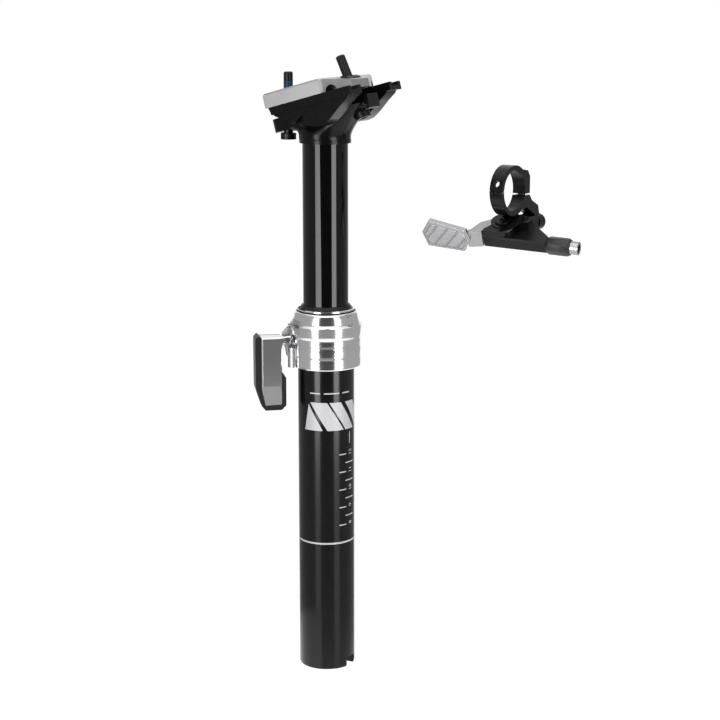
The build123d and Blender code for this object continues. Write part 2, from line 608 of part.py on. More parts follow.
# Upper clamp band with its captive bolt
band = whole_ring & block(-band_radius, band_radius, joint_gap, band_radius, -half_width, half_width)
band += flat_plate(((-bar_radius * 0.9, -split_drop), (lug_end, -split_drop), (lug_end, lug_height * 1.25),
                    (lug_end + lug_out * 0.45, lug_height * 1.9), (-bar_radius * 0.7, lug_height * 2.1)),
                   -half_width, half_width)
band -= rod(bar_radius, -half_width - cut_overrun, half_width + cut_overrun)
knuckle = Pos(hinge_x, 0, 0) * rod(hinge_knuckle_radius + joint_gap, -half_width, half_width)
band -= knuckle
band += Pos(hinge_x, 0, 0) * rod(hinge_knuckle_radius, -middle + joint_gap / 2, middle - joint_gap / 2)
band += block(bar_radius, band_radius, 0, hinge_knuckle_radius * 2, -middle + joint_gap / 2,
              middle - joint_gap / 2)
band -= rod(bar_radius, -half_width - cut_overrun, half_width + cut_overrun)
band -= Pos(hinge_x, 0, 0) * rod(hinge_pin_radius + slide_gap, -half_width - cut_overrun, half_width + cut_overrun)
band -= bar(clamp_bolt_radius + seat_gap, (bolt_x, -lug_height, 0), (0, 1, 0), lug_height * 4)
band -= bar(band_hole_radius, (0, 0, 0), (cos(radians(band_hole_turn)), sin(radians(band_hole_turn)), 0),
            band_radius * 2)
write("clamp_band", band, ring_place)
band_bolt_top = lug_height * 0.9
band_bolt = bar(clamp_bolt_radius, (bolt_x, -lug_height * 1.15, 0), (0, 1, 0), lug_height * 1.15 + band_bolt_top)
write("band_bolt", band_bolt, ring_place)

# Remote: perch with its cable channel, pivot seat and mounting boss
droop = radians(perch_droop)
heading = radians(perch_turn)
lean = radians(perch_lean)
cable_way = (cos(heading) * cos(droop), sin(heading) * cos(droop), -sin(droop))
towards = (sin(heading), -cos(heading), 0)
pivot_way = (sin(droop) * cos(heading) * cos(lean) - towards[0] * sin(lean) * -1,
             sin(droop) * sin(heading) * cos(lean) - towards[1] * sin(lean) * -1, cos(droop) * cos(lean))
pivot_centre = (perch_place_out * right_x, perch_place_out * right_y, perch_place_height)
perch_place = Plane(origin=pivot_centre, x_dir=cable_way, z_dir=pivot_way).location
channel_right = channel_length - channel_left
channel_front = -channel_centre - channel_width / 2
channel_back = -channel_centre + channel_width / 2
channel_low = -channel_top - channel_height
channel_axis = -channel_top - channel_height / 2
channel = block(-channel_left, channel_right, channel_front, channel_back, channel_low, -channel_top)
channel = chamfer(channel.edges().filter_by(Axis.X), edge_break * 1.3)
perch_plan = ((-channel_left * 0.7, channel_front * 0.6), (-channel_left * 0.78, pivot_pad_radius * 0.3),
              (-pivot_pad_radius * 0.5, pivot_pad_radius), (channel_right * 0.15, perch_depth),
              (channel_right * 0.48, perch_depth), (channel_right * 0.76, perch_depth * 0.2),
              (channel_right * 0.98, channel_back), (channel_right * 0.98, channel_front * 0.7))
perch = channel + flat_plate(perch_plan, channel_low * 0.8, -channel_top)
hub_low = -upper_ear_thickness - joint_gap / 2 - hub_thickness
lip_y = channel_front + channel_lip
perch_ear_plan = ((-channel_left, channel_front), (channel_step_at * 0.2, channel_front),
                  (channel_step_at, lip_y), (channel_right * 0.42, pivot_pad_radius * 0.37),
                  (channel_right * 0.42, perch_depth * 0.75), (channel_right * 0.1, perch_depth * 0.85),
                  (0, pivot_pad_radius), (-pivot_pad_radius * 0.7, -pivot_pad_radius * 0.4),
                  (-channel_left, lip_y))
upper_ear = rod(pivot_pad_radius, -upper_ear_thickness, 0)
upper_ear += flat_plate(perch_ear_plan, -upper_ear_thickness, -upper_ear_thickness * 0.3)
upper_ear += flat_plate(((-channel_left, channel_front), (channel_step_at * 0.2, channel_front),
                         (channel_step_at, lip_y), (-channel_left, lip_y)), -channel_top, -upper_ear_thickness)
perch += upper_ear
perch += flat_plate(((channel_right * 0.34, pivot_pad_radius * 0.25), (channel_right * 0.5, pivot_pad_radius * 0.45),
                     (channel_right * 0.5, perch_depth * 0.75), (channel_right * 0.34, perch_depth * 0.75)),
                    -channel_top, -upper_ear_thickness)
perch -= rod(pivot_radius + seat_gap, channel_low - cut_overrun, cut_overrun)
perch -= bar(barrel_thread_radius + slide_gap, (channel_right - barrel_thread_length * 1.3, -channel_centre, channel_axis),
             (1, 0, 0), barrel_thread_length * 2)
boss_length = bar_radius * 1.5
mount_inner = mount_seat + joint_gap * 0.1
mount_boss = bar(mount_bolt_head_radius * 1.25, (mount_inner, mount_y, 0), (1, 0, 0), boss_length)
perch_world = perch_place * perch + ring_place * mount_boss
pivot_clear = rod(pivot_pad_radius + joint_gap * 2, -channel_top, -upper_ear_thickness)
perch_world -= perch_place * pivot_clear
perch_world -= ring_place * rod(band_radius + joint_gap, -band_width, band_width)
perch_world -= ring_place * block(arm_outer - lug_out, mount_seat, -bracket_drop - joint_gap, lug_top,
                                  -half_width - joint_gap, half_width + joint_gap)
perch_world -= perch_place * rod(pivot_radius + seat_gap, channel_low - cut_overrun, cut_overrun)
perch_world -= ring_place * bar(mount_bolt_radius + seat_gap, (mount_inner - cut_overrun, mount_y, 0), (1, 0, 0),
                                boss_length * 0.6 + cut_overrun)
write("perch_body", perch_world)
mount_bolt = bar(mount_bolt_radius, (arm_outer, mount_y, 0), (1, 0, 0), mount_inner - arm_outer + boss_length * 0.5)
mount_head = bar(mount_bolt_head_radius, (arm_outer - mount_bolt_head_length, mount_y, 0), (1, 0, 0), mount_bolt_head_length)
mount_head -= Plane(origin=(arm_outer - mount_bolt_head_length, mount_y, 0), z_dir=(1, 0, 0)).location * extrude(
    RegularPolygon(hex_socket_radius, 6), amount=mount_bolt_head_length * 0.5)
write("mount_bolt", mount_bolt + mount_head, ring_place)
pivot_head_height = pivot_radius * 0.45
pivot_bolt = rod(pivot_radius, channel_low * 0.85, 0) + rod(pivot_head_radius, 0, pivot_head_height)
pivot_bolt -= extrude(Plane(origin=(0, 0, pivot_head_height * 0.3)) * RegularPolygon(pivot_radius * 0.75, 6),
                      amount=pivot_head_height)
write("pivot_bolt", pivot_bolt, perch_place)

# Thumb lever: hub plate, upright arm and dished paddle in one piece
hub_top = hub_low + hub_thickness
arm_end = -(channel_left + joint_gap * 3)
knee = arm_end - paddle_knee
paddle_end = knee - paddle_length
hub = rod(pivot_pad_radius * 0.95, hub_low, hub_top)
hub_reach = lip_y + joint_gap
hub += flat_plate(((0, pivot_pad_radius * 0.9), (-channel_left * 0.9, pivot_pad_radius * 0.42),
                   (arm_end - paddle_knee * 0.45, -pivot_pad_radius * 0.15), (knee, channel_front * 1.08),
                   (arm_end, channel_front), (arm_end, hub_reach), (-pivot_pad_radius * 0.4, hub_reach),
                   (0, -pivot_pad_radius * 0.5)), hub_low, hub_top)
arm_plan = ((arm_end, channel_front), (arm_end, channel_front + paddle_thickness * 1.2),
            (knee, channel_front * 1.14 + paddle_thickness), (knee, channel_front * 1.14 - paddle_thickness * 0.2))
arm_web = flat_plate(arm_plan, channel_low, hub_top)
paddle_shares = ((0.08, 0.543), (0.0, 0.23), (-0.8, 0.0), (-1.0, 0.457), (-0.984, 0.565), (-0.9, 0.935),
                 (-0.075, 1.0))
paddle_points = [(knee + across_share * paddle_length, paddle_rise - down_share * paddle_height)
                 for across_share, down_share in paddle_shares]
paddle_front = channel_front * 1.14 - paddle_thickness * 0.9
paddle = side_plate(paddle_points, paddle_front, paddle_front + paddle_thickness)
paddle = chamfer(paddle.faces().sort_by(Axis.Y)[0].edges(), edge_break * 0.7)
thumb = hub + arm_web + paddle
thumb -= rod(pivot_radius + slide_gap, hub_low - cut_overrun, hub_top + cut_overrun)
write("thumb_lever", thumb, perch_place)

# Cable adjuster: faceted barrel with a threaded stem, and its end sleeve
barrel_start = channel_right + joint_gap
barrel_place = Plane(origin=(barrel_start, -channel_centre, channel_axis), z_dir=(1, 0, 0)).location
barrel_face = Plane.XY * RegularPolygon(barrel_radius, len(barrel_sides))
barrel = extrude(barrel_face, amount=barrel_length)
barrel = barrel & post_piece(((0, 0), (barrel_radius * 0.84, 0), (barrel_radius, barrel_radius * 0.3),
                              (barrel_radius, barrel_length - barrel_radius * 0.3), (barrel_radius * 0.84, barrel_length),
                              (0, barrel_length)))
barrel += rod(barrel_thread_radius, -barrel_thread_length, 0)
barrel -= rod(cable_bore_radius, -barrel_thread_length - cut_overrun, barrel_length + cut_overrun)
write("adjuster_barrel", barrel, perch_place * barrel_place)
sleeve = ring(housing_bore_radius, sleeve_radius, barrel_length, barrel_length + sleeve_length)
sleeve += ring(cable_bore_radius, housing_bore_radius, barrel_length, barrel_length + sleeve_length * 0.2)
write("adjuster_sleeve", sleeve, perch_place * barrel_place)
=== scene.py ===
import json
from math import atan2, cos, pi, radians, sin

import bmesh
import bpy
from mathutils import Matrix, Vector


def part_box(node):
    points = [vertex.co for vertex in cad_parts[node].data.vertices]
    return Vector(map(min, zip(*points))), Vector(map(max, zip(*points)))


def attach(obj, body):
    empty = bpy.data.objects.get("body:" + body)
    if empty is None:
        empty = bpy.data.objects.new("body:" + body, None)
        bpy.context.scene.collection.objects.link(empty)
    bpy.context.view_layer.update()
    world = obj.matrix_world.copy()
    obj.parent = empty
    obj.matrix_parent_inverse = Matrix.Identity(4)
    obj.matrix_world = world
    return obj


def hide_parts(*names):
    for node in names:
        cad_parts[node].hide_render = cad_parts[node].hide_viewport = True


bl_info = {
    "name": "Dropper seatpost looks",
    "version": (1, 0, 0),
    "blender": (4, 5, 0),
    "location": "View3D > Sidebar > Seatpost",
    "description": "Finishes, edge work, threads and markings for a telescopic seatpost and its remote",
    "category": "Object",
}

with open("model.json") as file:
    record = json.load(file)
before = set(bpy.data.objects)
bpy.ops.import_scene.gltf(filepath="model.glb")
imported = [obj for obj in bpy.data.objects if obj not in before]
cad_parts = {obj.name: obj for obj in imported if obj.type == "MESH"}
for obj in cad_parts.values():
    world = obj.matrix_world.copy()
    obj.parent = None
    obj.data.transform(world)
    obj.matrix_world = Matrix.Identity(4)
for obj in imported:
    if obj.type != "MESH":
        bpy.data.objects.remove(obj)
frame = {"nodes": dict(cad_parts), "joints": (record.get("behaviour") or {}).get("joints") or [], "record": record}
MM = 0.001
WHITE = (1.0, 1.0, 1.0, 1.0)


def box_of(node):
    low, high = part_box(node)
    return Vector(low), Vector(high)


TUBE_RADIUS = (box_of("lower_tube")[1].x - box_of("lower_tube")[0].x) / 2
COLLAR_LOW, COLLAR_HIGH = box_of("upper_collar")


class Value:
    """A shader socket that takes part in sums, so a pattern can be written as an expression."""

    def __init__(self, nodes, socket):
        self.nodes = nodes
        self.socket = socket

    def join(self, operation, other):
        return self.nodes.node("ShaderNodeMath", {"operation": operation}, self, other)

    def __add__(self, other):
        return self.join("ADD", other)

    def __radd__(self, other):
        return self.join("ADD", other)

    def __sub__(self, other):
        return self.join("SUBTRACT", other)

    def __rsub__(self, other):
        return self.nodes.node("ShaderNodeMath", {"operation": "SUBTRACT"}, other, self)

    def __mul__(self, other):
        return self.join("MULTIPLY", other)

    def __rmul__(self, other):
        return self.join("MULTIPLY", other)


class Nodes:
    """A node tree, emptied, whose nodes are added by one method."""

    def __init__(self, tree):
        self.tree = tree
        self.tree.nodes.clear()

    def node(self, kind, settings=None, *inputs, outlet=0, **named):
        made = self.tree.nodes.new(kind)
        for name, setting in (settings or {}).items():
            if name == "stops":
                self.set_stops(made.color_ramp.elements, setting)
            else:
                setattr(made, name, setting)
        for place, given in list(enumerate(inputs)) + list(named.items()):
            self.feed(made.inputs[place.replace("_", " ") if isinstance(place, str) else place], given)
        return Value(self, made.outputs[outlet]) if made.outputs else made

    def set_stops(self, elements, stops):
        for element, (position, colour) in zip(elements, stops):
            element.position = position
            element.color = (*colour, 1.0)

    def feed(self, socket, given):
        if isinstance(given, Value):
            self.tree.links.new(given.socket, socket)
        else:
            socket.default_value = given


class Finish(Nodes):
    """One surface finish: a material, its shader and the nodes that vary it."""

    def __init__(self, name):
        self.material = bpy.data.materials.new(name)
        self.material.use_nodes = True
        super().__init__(self.material.node_tree)
        self.shader = self.node("ShaderNodeBsdfPrincipled")
        self.output = self.node("ShaderNodeOutputMaterial", None, self.shader)

    def set(self, **values):
        for name, given in values.items():
            self.feed(self.shader.socket.node.inputs[name.replace("_", " ")], given)

    def show(self, shader):
        self.feed(self.output.inputs["Surface"], shader)

    def noise(self, scale, detail, roughness=0.5, vector=None):
        vector = vector or self.node("ShaderNodeTexCoord", outlet="Object")
        return self.node("ShaderNodeTexNoise", None, outlet="Fac", Vector=vector, Scale=scale,
                         Detail=detail, Roughness=roughness)

    def tone(self, pattern, colour, low=1.0, high=1.0, start=0.3, end=0.7):
        """A colour that goes from its low to its high share as the pattern goes from start to end."""
        stops = ((start, [part * low for part in colour]), (end, [part * high for part in colour]))
        return self.node("ShaderNodeValToRGB", {"stops": stops}, pattern)

    def varied(self, pattern, middle, swing):
        return pattern * swing + (middle - swing / 2)

    def bump(self, height, strength, distance):
        bumps = self.node("ShaderNodeBump", None, Strength=strength, Distance=distance, Height=height)
        self.set(Normal=bumps)


# Finishes: a fine grain or turning lines for the bump, and a wider cloud for the tone

def black_anodised(name, colour, roughness, shine, grain):
    finish = Finish(name)
    cloud = finish.noise(scale=260.0, detail=4.0)
    speck = finish.noise(scale=2600.0, detail=2.0)
    finish.set(Base_Color=finish.tone(cloud, colour, low=0.8, high=1.25), Metallic=0.0,
               Roughness=finish.varied(cloud, roughness, swing=0.05), Specular_IOR_Level=shine)
    finish.bump(speck, strength=grain, distance=0.02 * MM)
    return finish.material


def blasted_alloy(name, colour, roughness):
    finish = Finish(name)
    grain = finish.noise(scale=2400.0, detail=3.0)
    cloud = finish.noise(scale=130.0, detail=2.0)
    finish.set(Base_Color=finish.tone(cloud, colour, low=0.95), Metallic=0.9,
               Roughness=finish.varied(grain, roughness, swing=0.08))
    finish.bump(grain, strength=0.04, distance=0.02 * MM)
    return finish.material


def turned_alloy(name, colour, roughness):
    finish = Finish(name)
    place = finish.node("ShaderNodeTexCoord", outlet="Object")
    drawn_out = finish.node("ShaderNodeMapping", None, place, Scale=(30.0, 30.0, 5200.0))
    lines = finish.noise(scale=1.0, detail=2.0, roughness=0.6, vector=drawn_out)
    cloud = finish.noise(scale=90.0, detail=2.0)
    finish.set(Base_Color=finish.tone(cloud, colour, low=0.95), Metallic=1.0,
               Roughness=finish.varied(lines, roughness, swing=0.07))
    finish.bump(lines, strength=0.05, distance=0.02 * MM)
    return finish.material


def plated_steel(name, colour, roughness):
    finish = Finish(name)
    cloud = finish.noise(scale=420.0, detail=4.0)
    finish.set(Base_Color=finish.tone(cloud, colour, low=0.8, start=0.35), Metallic=1.0,
               Roughness=finish.varied(cloud, roughness, swing=0.12))
    return finish.material


def black_rubber(name, colour, roughness):
    finish = Finish(name)
    grain = finish.noise(scale=3200.0, detail=3.0)
    finish.set(Base_Color=finish.tone(grain, colour, low=0.8, high=1.2, end=0.75),
               Roughness=finish.varied(grain, roughness, swing=0.12), Specular_IOR_Level=0.35)
    finish.bump(grain, strength=0.2, distance=0.04 * MM)
    return finish.material


def printed_white(name, colour, roughness):
    finish = Finish(name)
    cloud = finish.noise(scale=900.0, detail=3.0)
    finish.set(Base_Color=finish.tone(cloud, colour, low=0.9),
               Roughness=finish.varied(cloud, roughness, swing=0.1))
    return finish.material


def shades(colour, share):
    return [part * share for part in colour]


FINISHES = {
    "satin_black": lambda look: black_anodised("satin_black", look.black, 0.17, 0.32, 0.03),
    "gloss_black": lambda look: black_anodised("gloss_black", shades(look.black, 0.4), 0.09, 0.3, 0.01),
    "forged_black": lambda look: black_anodised("forged_black", look.black, 0.2, 0.17, 0.04),
    "worn_black": lambda look: black_anodised("worn_black", shades(look.black, 3.0), 0.42, 0.5, 0.1),
    "cast_black": lambda look: black_anodised("cast_black", look.black, 0.24, 0.25, 0.06),
    "blasted_silver": lambda look: blasted_alloy("blasted_silver", shades(look.silver, 0.56), 0.36),
    "tumbled_silver": lambda look: blasted_alloy("tumbled_silver", shades(look.silver, 0.46), 0.42),
    "turned_silver": lambda look: turned_alloy("turned_silver", look.silver, 0.145),
    "milled_silver": lambda look: blasted_alloy("milled_silver", shades(look.silver, 0.6), 0.36),
    "bright_silver": lambda look: blasted_alloy("bright_silver", look.silver, 0.1),
    "oxide_steel": lambda look: plated_steel("oxide_steel", (0.035, 0.035, 0.038), 0.4),
    "zinc_steel": lambda look: plated_steel("zinc_steel", (0.4, 0.4, 0.41), 0.22),
    "machined_brass": lambda look: plated_steel("machined_brass", (0.78, 0.58, 0.28), 0.3),
    "rubber": lambda look: black_rubber("rubber", (0.004, 0.004, 0.005), 0.42),
    "bushing_polymer": lambda look: black_rubber("bushing_polymer", (0.02, 0.02, 0.022), 0.5),
    "print_white": lambda look: printed_white("print_white", (0.6, 0.6, 0.6), 0.4),
    "print_silver": lambda look: printed_white("print_silver", (0.62, 0.61, 0.62), 0.4),
    "threadlock": lambda look: black_rubber("threadlock", (0.03, 0.15, 0.38), 0.5),
}

NODE_FINISH = {
    "base_cap": "satin_black", "lower_tube": "satin_black", "rod_nut": "zinc_steel",
    "gas_rod": "zinc_steel", "piston": "turned_silver", "bump_stop": "rubber",
    "upper_collar": "turned_silver", "collar_set_screw": "oxide_steel",
    "upper_bushing": "bushing_polymer", "wiper_seal": "rubber", "lever_pin": "zinc_steel",
    "perch_body": "cast_black", "clamp_bracket": "cast_black", "mount_bolt": "oxide_steel",
    "hinge_pin": "zinc_steel", "pivot_bolt": "oxide_steel", "stanchion_tube": "gloss_black",
    "head_forging": "forged_black", "lower_bushing": "bushing_polymer",
    "guide_key_1": "machined_brass", "guide_key_2": "machined_brass",
    "guide_key_3": "machined_brass", "gas_cylinder": "zinc_steel",
    "cylinder_gland": "turned_silver", "lower_cradle": "forged_black",
    "rail_trough_left": "forged_black", "rail_trough_right": "forged_black",
    "upper_clamp": "blasted_silver", "clamp_end_front": "blasted_silver",
    "clamp_end_rear": "blasted_silver", "rail_clamp_left": "blasted_silver",
    "rail_clamp_right": "blasted_silver", "barrel_nut_front": "oxide_steel",
    "barrel_nut_rear": "oxide_steel", "clamp_bolt_front": "oxide_steel",
    "clamp_bolt_rear": "oxide_steel", "release_lever": "bright_silver", "lever_pad": "rubber",
    "release_plunger": "zinc_steel", "thumb_lever": "tumbled_silver", "clamp_band": "cast_black",
    "band_bolt": "oxide_steel", "adjuster_barrel": "worn_black", "adjuster_sleeve": "zinc_steel",
}

# Worked copies: how near places are one, and the degrees from which a crease stays crisp
WELD = 0.002 * MM
WALL_WELD = 0.02 * MM
ON_WALL = 0.01 * MM
SAME_FACE = radians(0.6)
FORGED_CREASE = 30.0
CRISP_CREASE = 6.0
TURNED_CREASE = 24.0
COLLAR_CREASE = 12.0
BEVEL_FROM = radians(32.0)
BEVEL_STEPS = 3
PLATE_EDGE = 0.5

# Nodes with worked edges: each is copied with its edges rounded by this many millimetres
ROUNDED = {
    "head_forging": 1.1, "rail_trough_left": 0.45, "rail_trough_right": 0.45,
    "release_lever": 0.25, "lever_pad": 0.7, "perch_body": 0.4, "clamp_bracket": 0.35, "clamp_band": 0.35,
    "thumb_lever": 0.3, "adjuster_barrel": 0.3, "adjuster_sleeve": 0.2, "base_cap": 0.3, "lower_tube": 0.25,
    "mount_bolt": 0.3, "pivot_bolt": 0.2, "clamp_bolt_front": 0.2, "clamp_bolt_rear": 0.2,
}

# Turned nodes, whose facets are only joined and smoothed
TURNED = ("stanchion_tube", "wiper_seal")

# The collar's turned outline from its foot up, as shares of its wall and height: in the frame, and crisper
COLLAR_WALL = 4.15 * MM
COLLAR_FRAME_SHARES = ((0.60, 0.0), (0.71, 0.02), (0.71, 0.114), (0.64, 0.13), (0.76, 0.16), (0.76, 0.315),
                       (0.58, 0.34), (0.61, 0.369), (0.61, 0.454), (0.54, 0.475), (0.66, 0.5), (0.97, 0.676),
                       (1.0, 0.69), (0.9, 0.732), (0.35, 0.938), (0.04, 0.962), (-0.2, 0.964), (-0.2, 0.976),
                       (-0.08, 0.98), (-0.08, 0.996), (-0.14, 1.0))
COLLAR_STEP_SHARES = ((0.74, 0.0), (0.86, 0.02), (0.86, 0.148), (0.80, 0.163), (0.87, 0.2), (0.87, 0.352),
                      (0.79, 0.37), (0.84, 0.402), (0.84, 0.493), (0.78, 0.515), (0.89, 0.545), (1.02, 0.735),
                      (1.03, 0.752), (0.70, 0.79), (0.40, 0.95), (0.18, 0.985), (-0.15, 0.975), (-0.15, 1.0),
                      (-0.05, 1.004), (-0.05, 1.028), (-0.14, 1.034))
# Stretches of the outline inside the groove: their faces are painted black as shade
COLLAR_GROOVE = (15, 16)

# Turned skin of the collar: how near its outline a place lies beside the arm, and how near elsewhere
ON_SKIN = 0.05 * MM
NEAR_SKIN = 0.5 * MM
ARM_REACH = radians(32.0)
ARM_FOOT_SHARE = 0.2
# Collar slots: the milled arm, and the groove, painted black with the rubber finish as shade
ARM_SLOT, GROOVE_SHADE_SLOT = 1, 2

# Nodes that are one plate in five parts
PLATE = ("upper_clamp", "clamp_end_front", "clamp_end_rear", "rail_clamp_left", "rail_clamp_right")

# Nodes bent from flat faces, whose bends stay crisp
CRISP = ("upper_clamp", "release_lever", "thumb_lever")


def finish_named(name):
    look = bpy.context.scene.seatpost_look
    return bpy.data.materials.get(name) or FINISHES[name](look)


def body_of(node):
    for body, nodes in frame["record"]["behaviour"]["bodies"].items():
        if node in nodes:
            return body
    raise ValueError(f"no body holds {node}")


def add_piece(name, mesh_work, body, finish):
    """Makes an object from a bmesh, gives it a finish and lets it ride on a body."""
    mesh = bpy.data.meshes.new(name)
    mesh_work.to_mesh(mesh)
    mesh_work.free()
    piece = bpy.data.objects.new(name, mesh)
    bpy.context.collection.objects.link(piece)
    mesh.materials.append(finish_named(finish))
    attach(piece, body)
    return piece


def shade(piece, angle):
    """Smooths faces that meet at less than an angle and keeps the rest crisp."""
    mesh = piece.data
    for face in mesh.polygons:
        face.use_smooth = True
    mesh.set_sharp_from_angle(angle=radians(angle))


def joined_copy(*nodes):
    """A copy of one or more nodes whose loose triangles are joined into one skin."""
    work = bmesh.new()
    for node in nodes:
        work.from_mesh(frame["nodes"][node].data)
    bmesh.ops.remove_doubles(work, verts=work.verts, dist=WELD)
    bmesh.ops.dissolve_degenerate(work, dist=WELD, edges=work.edges)
    return work


def seamless_copy(nodes):
    """A copy of side by side nodes whose touching walls are taken out, so that they are one skin."""
    work = joined_copy(*nodes)
    rail = next(mount for mount in frame["record"]["mounts"] if mount["name"] == "rail_left")
    for way in (Vector((0, 1, 0)), Vector(rail["axis"]).normalized()):
        reach = [vert.co.dot(way) for vert in frame["nodes"][nodes[0]].data.vertices]
        for wall in (min(reach), max(reach)):
            inner = [face for face in work.faces
                     if all(abs(vert.co.dot(way) - wall) < ON_WALL for vert in face.verts)]
            bmesh.ops.delete(work, geom=inner, context="FACES_ONLY")
    bmesh.ops.remove_doubles(work, verts=work.verts, dist=WALL_WELD)
    return work


def collar_line(shares):
    height = COLLAR_HIGH.z - COLLAR_LOW.z
    return [Vector((TUBE_RADIUS + across * COLLAR_WALL, COLLAR_LOW.z + up * height))
            for across, up in shares]


def nearest_on(line, point):
    """The nearest place on a broken line: its stretch, the share along that stretch and the distance."""
    found = []
    for index, (start, end) in enumerate(zip(line, line[1:])):
        run = end - start
        share = max(0.0, min(1.0, (point - start).dot(run) / run.length_squared))
        found.append(((point - start - run * share).length, index, share))
    distance, index, share = min(found)
    return index, share, distance


def out_and_up(place):
    return Vector((Vector((place.x, place.y)).length, place.z))


def recut_collar(work):
    """Moves the collar's turned skin to the crisper outline, and marks its milled arm and its groove, whose faces
    are painted black as shade.
    """
    frame_line, step_line = collar_line(COLLAR_FRAME_SHARES), collar_line(COLLAR_STEP_SHARES)
    axis = joint_named("lever_pivot")["axis"]
    arm_turn = atan2(axis[0], -axis[1])
    arm_foot = TUBE_RADIUS + COLLAR_WALL * ARM_FOOT_SHARE
    turned = set()
    places = {vert: nearest_on(frame_line, out_and_up(vert.co)) for vert in work.verts}
    on_skin = {vert for vert in work.verts if places[vert][2] < ON_SKIN}
    for vert in work.verts:
        index, share, distance = places[vert]
        beside_arm = abs(atan2(vert.co.y, vert.co.x) - arm_turn) < ARM_REACH
        if beside_arm:
            moves = all(other in on_skin for face in vert.link_faces for other in face.verts)
        else:
            moves = distance < NEAR_SKIN
        if moves:
            target = step_line[index].lerp(step_line[index + 1], share)
            outwards = Vector((vert.co.x, vert.co.y, 0)).normalized()
            vert.co = outwards * target.x + Vector((0, 0, target.y))
            turned.add(vert)
    for face in work.faces:
        middle = out_and_up(face.calc_center_median())
        if any(vert not in turned for vert in face.verts) and middle.x > arm_foot:
            face.material_index = ARM_SLOT
        # Faces in the groove go to the slot whose black rubber is painted shade
        elif nearest_on(step_line, middle)[0] in COLLAR_GROOVE:
            face.material_index = GROOVE_SHADE_SLOT
    bmesh.ops.recalc_face_normals(work, faces=work.faces)


def worked_piece(nodes, work, angle):
    name = nodes[0]
    piece = add_piece(f"{name}_worked", work, body_of(name), NODE_FINISH[name])
    shade(piece, angle)
    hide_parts(*nodes)
    return piece


def rounded_piece(nodes, work, width):
    """A piece whose flat faces are joined and whose edges are rounded."""
    bmesh.ops.dissolve_limit(work, angle_limit=SAME_FACE, verts=work.verts, edges=work.edges)
    piece = worked_piece(nodes, work, CRISP_CREASE if nodes[0] in CRISP else FORGED_CREASE)
    bevel = piece.modifiers.new("edges", "BEVEL")
    bevel.width = width * MM
    bevel.segments = BEVEL_STEPS
    bevel.limit_method = "ANGLE"
    bevel.angle_limit = BEVEL_FROM
    bevel.use_clamp_overlap = True
    bevel.harden_normals = True
    return piece


# Sizes and colours that a user would change

class LookSettings(bpy.types.PropertyGroup):
    black: bpy.props.FloatVectorProperty(
        name="Black", description="Colour of the black anodised metal", size=3, subtype="COLOR",
        default=(0.004, 0.004, 0.0045))
    silver: bpy.props.FloatVectorProperty(
        name="Silver", description="Colour of the bare and blasted aluminium", size=3, subtype="COLOR",
        default=(0.8, 0.8, 0.81))


class MarkSettings(bpy.types.PropertyGroup):
    lift: bpy.props.FloatProperty(
        name="Ink lift", description="How far the print stands off the tube", unit="LENGTH",
        default=0.03 * MM)
    ring_height: bpy.props.FloatProperty(
        name="Ring height", description="Height of the minimum insertion ring", unit="LENGTH",
        default=73.0 * MM)
    ring_width: bpy.props.FloatProperty(
        name="Ring width", description="Width of the minimum insertion ring", unit="LENGTH",
        default=1.0 * MM)
    scale_low: bpy.props.FloatProperty(
        name="Scale start", description="Height of the lowest long tick", unit="LENGTH",
        default=83.5 * MM)
    scale_step: bpy.props.FloatProperty(
        name="Scale step", description="Height between two long ticks", unit="LENGTH",
        default=10.0 * MM)
    scale_count: bpy.props.IntProperty(
        name="Long ticks", description="How many long ticks the scale has", default=5)
    first_number: bpy.props.IntProperty(
        name="First number", description="Number beside the lowest long tick", default=8)


class ThreadSettings(bpy.types.PropertyGroup):
    radius: bpy.props.FloatProperty(
        name="Radius", description="Outer radius of the clamp bolts", unit="LENGTH", default=2.5 * MM)
    lift: bpy.props.FloatProperty(
        name="Lift", description="How far a cut thread stands off the plain shank", unit="LENGTH",
        default=0.02 * MM)
    depth: bpy.props.FloatProperty(
        name="Depth", description="Depth of the thread", unit="LENGTH", default=0.32 * MM)
    pitch: bpy.props.FloatProperty(
        name="Pitch", description="Height of one turn", unit="LENGTH", default=0.8 * MM)
    length: bpy.props.FloatProperty(
        name="Length", description="Threaded length from the tip down", unit="LENGTH",
        default=22.0 * MM)
    patch_high: bpy.props.FloatProperty(
        name="Patch top", description="Threadlock patch below the tip", unit="LENGTH", default=5.0 * MM)
    patch_low: bpy.props.FloatProperty(
        name="Patch foot", description="Lower end of the threadlock patch", unit="LENGTH",
        default=13.0 * MM)


class ReliefSettings(bpy.types.PropertyGroup):
    rim: bpy.props.FloatProperty(
        name="Rim", description="Width of the paddle's raised rim", unit="LENGTH", default=0.9 * MM)
    height: bpy.props.FloatProperty(
        name="Height", description="How far rim and panels stand off the paddle", unit="LENGTH",
        default=0.28 * MM)
    groove: bpy.props.FloatProperty(
        name="Groove", description="Width of the grooves between the panels", unit="LENGTH",
        default=0.7 * MM)
    panel: bpy.props.FloatProperty(
        name="Panel", description="Width of one slanted panel", unit="LENGTH", default=4.6 * MM)
    lean: bpy.props.FloatProperty(
        name="Lean", description="Lean of the panels", subtype="ANGLE", default=radians(-38.0))


class StageSettings(bpy.types.PropertyGroup):
    floor_drop: bpy.props.FloatProperty(
        name="Floor drop", description="How far the floor lies below the post", unit="LENGTH",
        default=0.5)
    lens: bpy.props.FloatProperty(
        name="Lens", description="Focal length of the camera in millimetres", default=86.7)
    tilt: bpy.props.FloatProperty(
        name="Tilt", description="How far the camera looks down", subtype="ANGLE",
        default=radians(12.0))


# Printed marks on the outer tube, with turns from the camera's side

